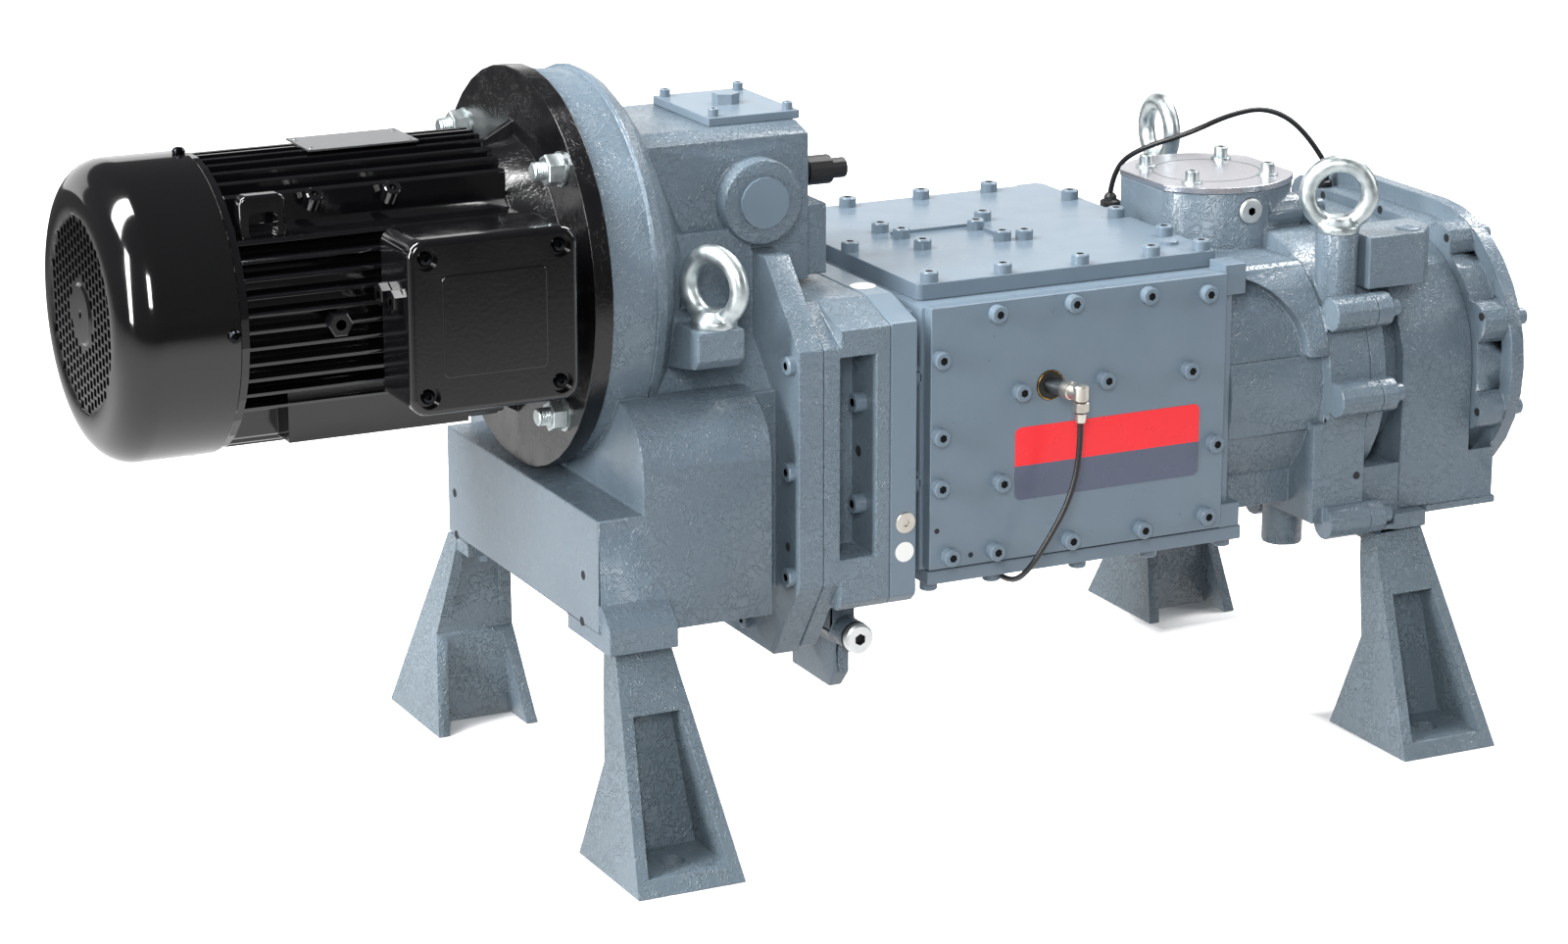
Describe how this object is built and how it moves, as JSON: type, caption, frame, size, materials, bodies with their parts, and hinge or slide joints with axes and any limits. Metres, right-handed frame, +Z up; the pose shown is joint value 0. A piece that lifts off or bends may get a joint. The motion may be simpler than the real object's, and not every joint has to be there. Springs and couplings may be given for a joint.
{
  "type": "dry screw vacuum pump",
  "caption": "Dry screw vacuum pump driven by a flanged, finned motor through a gearbox, standing on cast legs with lifting eyes.",
  "frame": {"origin": "on the floor at the centre of the four foot bolt holes", "axes": "+X along the shafts from the motor to the far end of the pump, +Y across the pump to the side away from the terminal box, +Z up"},
  "size_m": [1.324, 0.577, 0.6565],
  "materials": {
    "blue_grey_enamel": "satin",
    "black_gloss_paint": "gloss",
    "zinc_plated_steel": "satin",
    "blackened_steel": "satin",
    "bare_aluminium": "satin",
    "core_steel": "matte",
    "copper": "satin",
    "ground_steel": "satin",
    "rotor_iron": "satin",
    "black_plastic": "matte",
    "sensor_plastic": "gloss",
    "black_rubber": "matte"
  },
  "bodies": {
    "pump_body": {"bottom_cover": "blue_grey_enamel", "cable_entry_plugs": "black_plastic", "cable_glands": "black_plastic", "drive_end_shield": "black_gloss_paint", "end_bearing_plate": "blue_grey_enamel", "end_cover": "blue_grey_enamel", "end_cover_screws": "blue_grey_enamel", "end_ring_cover": "blue_grey_enamel", "fan_cover": "black_gloss_paint", "fan_cover_screws": "zinc_plated_steel", "fan_end_shield": "black_gloss_paint", "flange_cap_screws": "blue_grey_enamel", "flange_studs": "zinc_plated_steel", "front_left_leg": "blue_grey_enamel", "front_right_leg": "blue_grey_enamel", "front_sensor_cable": "black_rubber", "front_side_cover": "blue_grey_enamel", "gearbox_boss_cap": "blue_grey_enamel", "gearbox_housing": "blue_grey_enamel", "gearbox_top_cover": "blue_grey_enamel", "gearbox_top_screws": "blue_grey_enamel", "head_plate": "blue_grey_enamel", "inlet_cover_plate": "bare_aluminium", "inlet_cover_screws": "zinc_plated_steel", "inlet_housing": "blue_grey_enamel", "inlet_side_plug": "zinc_plated_steel", "leg_bolts": "zinc_plated_steel", "lifting_eyes": "zinc_plated_steel", "middle_plate": "blue_grey_enamel", "motor_bearings": "ground_steel", "motor_frame": "black_gloss_paint", "motor_nameplate": "bare_aluminium", "motor_stator_core": "core_steel", "motor_windings": "copper", "oil_drain_plug": "zinc_plated_steel", "oil_filler_plug": "blue_grey_enamel", "oil_level_sensor": "black_plastic", "pump_cover_screws": "blue_grey_enamel", "rear_left_leg": "blue_grey_enamel", "rear_right_leg": "blue_grey_enamel", "rear_sensor_cable": "black_rubber", "rear_side_cover": "blue_grey_enamel", "rotor_bearings": "ground_steel", "shaft_seals": "black_rubber", "slot_cap_screws": "blue_grey_enamel", "stator_body": "blue_grey_enamel", "temperature_sensors": "sensor_plastic", "terminal_box": "black_gloss_paint", "terminal_box_lid": "black_gloss_paint", "terminal_box_screws": "blackened_steel", "top_cover": "blue_grey_enamel"},
    "motor_rotor": {"motor_shaft": "ground_steel", "motor_rotor_core": "core_steel", "cooling_fan": "black_plastic", "drive_gear": "ground_steel"},
    "front_rotor": {"front_screw_rotor": "rotor_iron", "drive_pinion": "ground_steel", "front_timing_gear": "ground_steel"},
    "rear_rotor": {"rear_screw_rotor": "rotor_iron", "rear_timing_gear": "ground_steel"}
  },
  "joints": [
    {"name": "front_rotor_spin", "type": "hinge", "parent": "pump_body", "child": "front_rotor", "pos_m": [0, -0.07, 0.33258], "axis": [1, 0, 0], "continuous": true},
    {"name": "rear_rotor_spin", "type": "hinge", "parent": "pump_body", "child": "rear_rotor", "pos_m": [0, 0.07, 0.33258], "axis": [1, 0, 0], "continuous": true},
    {"name": "motor_spin", "type": "hinge", "parent": "pump_body", "child": "motor_rotor", "pos_m": [-0.5, 0, 0.482], "axis": [1, 0, 0], "continuous": true}
  ],
  "couplings": [
    {"joint": "motor_spin", "follows": "front_rotor_spin", "ratio": -0.5},
    {"joint": "rear_rotor_spin", "follows": "front_rotor_spin", "ratio": -1}
  ]
}
